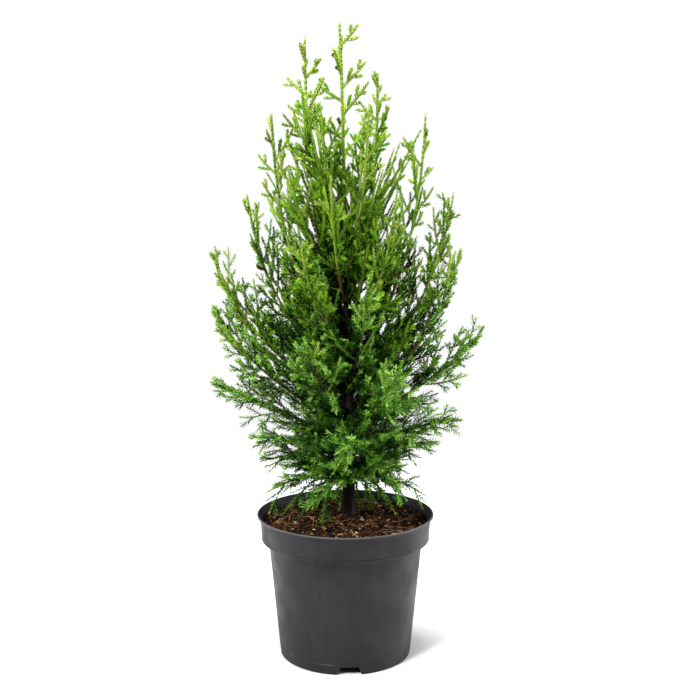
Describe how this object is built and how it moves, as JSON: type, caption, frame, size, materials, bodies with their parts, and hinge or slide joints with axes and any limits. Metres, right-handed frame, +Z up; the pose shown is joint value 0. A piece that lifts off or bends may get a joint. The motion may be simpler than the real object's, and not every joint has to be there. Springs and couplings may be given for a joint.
{
  "type": "potted false cypress",
  "caption": "Young false cypress with a narrow, bright green feathery crown, growing in a round dark grey nursery pot of bark compost.",
  "frame": {"origin": "on the ground under the middle of the pot", "axes": "+Z up the trunk, -Y towards the side with the drain notch that faces the viewer"},
  "size_m": [0.2632, 0.2236, 0.5983],
  "materials": {
    "pot_plastic": "matte moulded, faintly streaked",
    "soil": "loose bark and peat compost",
    "bark": "rough bark",
    "foliage": "scale leaves and short needles"
  },
  "bodies": {
    "root": {"bough_inner_leader": "bark", "bough_left_leader": "bark", "bough_left_low": "bark", "bough_left_middle": "bark", "bough_left_shoulder": "bark", "bough_left_upper": "bark", "bough_left_wing": "bark", "bough_right_leader": "bark", "bough_right_low": "bark", "bough_right_middle": "bark", "bough_right_upper": "bark", "bough_right_wing": "bark", "foliage_01": "foliage", "foliage_02": "foliage", "foliage_03": "foliage", "foliage_04": "foliage", "foliage_05": "foliage", "foliage_06": "foliage", "foliage_07": "foliage", "foliage_08": "foliage", "foliage_09": "foliage", "foliage_10": "foliage", "foliage_11": "foliage", "foliage_12": "foliage", "foliage_13": "foliage", "foliage_14": "foliage", "foliage_15": "foliage", "foliage_16": "foliage", "foliage_17": "foliage", "foliage_18": "foliage", "foliage_19": "foliage", "foliage_20": "foliage", "foliage_21": "foliage", "foliage_22": "foliage", "foliage_23": "foliage", "foliage_24": "foliage", "foliage_25": "foliage", "foliage_26": "foliage", "foliage_27": "foliage", "foliage_28": "foliage", "foliage_29": "foliage", "foliage_30": "foliage", "foliage_inner_leader": "foliage", "foliage_left_leader": "foliage", "foliage_left_low": "foliage", "foliage_left_middle": "foliage", "foliage_left_shoulder": "foliage", "foliage_left_upper": "foliage", "foliage_left_wing": "foliage", "foliage_right_leader": "foliage", "foliage_right_low": "foliage", "foliage_right_middle": "foliage", "foliage_right_upper": "foliage", "foliage_right_wing": "foliage", "foliage_top": "foliage", "pot": "pot_plastic", "soil": "soil", "trunk": "bark"}
  },
  "joints": []
}
